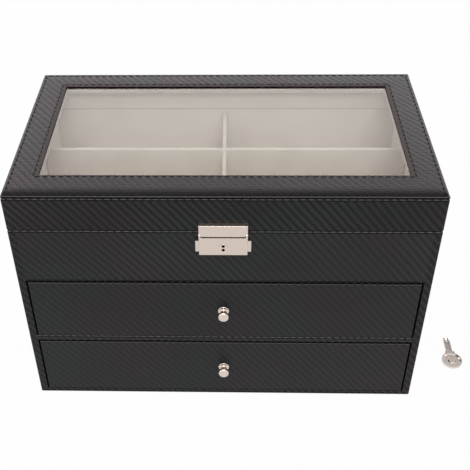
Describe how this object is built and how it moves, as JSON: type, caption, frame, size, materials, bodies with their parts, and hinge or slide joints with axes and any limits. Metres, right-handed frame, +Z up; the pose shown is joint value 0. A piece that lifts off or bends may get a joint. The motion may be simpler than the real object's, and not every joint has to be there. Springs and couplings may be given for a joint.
{
  "type": "eyeglasses storage box",
  "caption": "Stitched leatherette storage box for spectacles: a divided velvet tray under a glass-windowed lid with a front lock, divided drawers below it, and a loose key.",
  "frame": {"origin": "middle of the underside of the box, on the surface that it stands on", "axes": "+X to the right seen from the front, +Y to the back, +Z up"},
  "size_m": [0.3916, 0.2063, 0.2233],
  "materials": {
    "leatherette_board": "charcoal leatherette with a diagonal carbon weave, wrapped over fibreboard and stitched along its edges",
    "leatherette_cover": "charcoal leatherette with a fine diagonal carbon weave, stitched inside and outside",
    "base_felt": "black felt",
    "drawer_board": "board covered in matt black paper",
    "velvet_lining": "beige-grey velvet",
    "velvet_divider": "beige-grey velvet over card",
    "window_glass": "clear float glass",
    "satin_nickel": "finely brushed warm nickel plate",
    "polished_nickel": "polished warm nickel plate",
    "hinge_nickel": "satin nickel plate",
    "zinc_steel": "zinc-plated steel"
  },
  "bodies": {
    "carcass": {"left_side_panel": "leatherette_board", "right_side_panel": "leatherette_board", "back_panel": "leatherette_board", "base_panel": "leatherette_board", "base_felt": "base_felt", "drawer_shelf": "leatherette_board", "front_fascia": "leatherette_board", "tray_floor": "drawer_board", "tray_floor_pad": "velvet_lining", "tray_wall_lining": "velvet_lining", "tray_long_divider": "velvet_divider", "tray_cross_dividers": "velvet_divider", "strike_plate": "zinc_steel", "strike_screws": "zinc_steel", "hinge_body_leaves": "hinge_nickel", "hinge_body_screws": "zinc_steel", "hinge_pins": "zinc_steel"},
    "lid": {"lid_left_wall": "leatherette_board", "lid_right_wall": "leatherette_board", "lid_front_wall": "leatherette_board", "lid_back_wall": "leatherette_board", "lid_cover_frame": "leatherette_cover", "glass_pane": "window_glass", "glass_retainer": "velvet_lining", "lid_wall_lining": "velvet_lining", "hasp_plate": "satin_nickel", "hasp_studs": "zinc_steel", "hasp_pin": "zinc_steel", "hinge_lid_leaves": "hinge_nickel", "hinge_lid_screws": "zinc_steel"},
    "hasp_flap": {"hasp_flap": "satin_nickel", "press_tab_spring_left": "zinc_steel", "press_tab_spring_right": "zinc_steel"},
    "key_cylinder": {"key_cylinder": "satin_nickel", "lock_cam": "zinc_steel"},
    "press_tab_left": {"press_tab_left": "satin_nickel"},
    "press_tab_right": {"press_tab_right": "satin_nickel"},
    "key": {"key": "polished_nickel"},
    "upper_drawer": {"upper_drawer_front": "leatherette_board", "upper_drawer_bottom": "drawer_board", "upper_drawer_left_side": "drawer_board", "upper_drawer_right_side": "drawer_board", "upper_drawer_back": "drawer_board", "upper_drawer_lining": "velvet_lining", "upper_drawer_long_divider": "velvet_divider", "upper_drawer_cross_dividers": "velvet_divider", "upper_drawer_knob": "polished_nickel", "upper_drawer_knob_screw": "zinc_steel"},
    "lower_drawer": {"lower_drawer_front": "leatherette_board", "lower_drawer_bottom": "drawer_board", "lower_drawer_left_side": "drawer_board", "lower_drawer_right_side": "drawer_board", "lower_drawer_back": "drawer_board", "lower_drawer_lining": "velvet_lining", "lower_drawer_long_divider": "velvet_divider", "lower_drawer_cross_dividers": "velvet_divider", "lower_drawer_knob": "polished_nickel", "lower_drawer_knob_screw": "zinc_steel"}
  },
  "joints": [
    {"name": "lid_hinge", "type": "hinge", "parent": "carcass", "child": "lid", "pos_m": [0, 0.0972, 0.19065], "axis": [-1, 0, 0], "range_deg": [0, 100]},
    {"name": "flap_hinge", "type": "hinge", "parent": "lid", "child": "hasp_flap", "pos_m": [0, -0.09735, 0.18905], "axis": [-1, 0, 0], "range_deg": [0, 95]},
    {"name": "cylinder_turn", "type": "hinge", "parent": "hasp_flap", "child": "key_cylinder", "pos_m": [0, -0.09895, 0.1772], "axis": [0, 1, 0], "range_deg": [0, 90]},
    {"name": "left_tab_press", "type": "slide", "parent": "hasp_flap", "child": "press_tab_left", "axis": [1, 0, 0], "range_m": [0, 0.0018], "stiffness_N_per_m": 400, "springref_m": -0.001, "deforming": ["press_tab_spring_left"]},
    {"name": "right_tab_press", "type": "slide", "parent": "hasp_flap", "child": "press_tab_right", "axis": [-1, 0, 0], "range_m": [0, 0.0018], "stiffness_N_per_m": 400, "springref_m": -0.001, "deforming": ["press_tab_spring_right"]},
    {"name": "upper_drawer_slide", "type": "slide", "parent": "carcass", "child": "upper_drawer", "axis": [0, -1, 0], "range_m": [0, 0.15]},
    {"name": "lower_drawer_slide", "type": "slide", "parent": "carcass", "child": "lower_drawer", "axis": [0, -1, 0], "range_m": [0, 0.15]},
    {"name": "key_lift", "type": "slide", "parent": "carcass", "child": "key", "axis": [0, 0, 1], "range_m": [0, 0.1]}
  ]
}
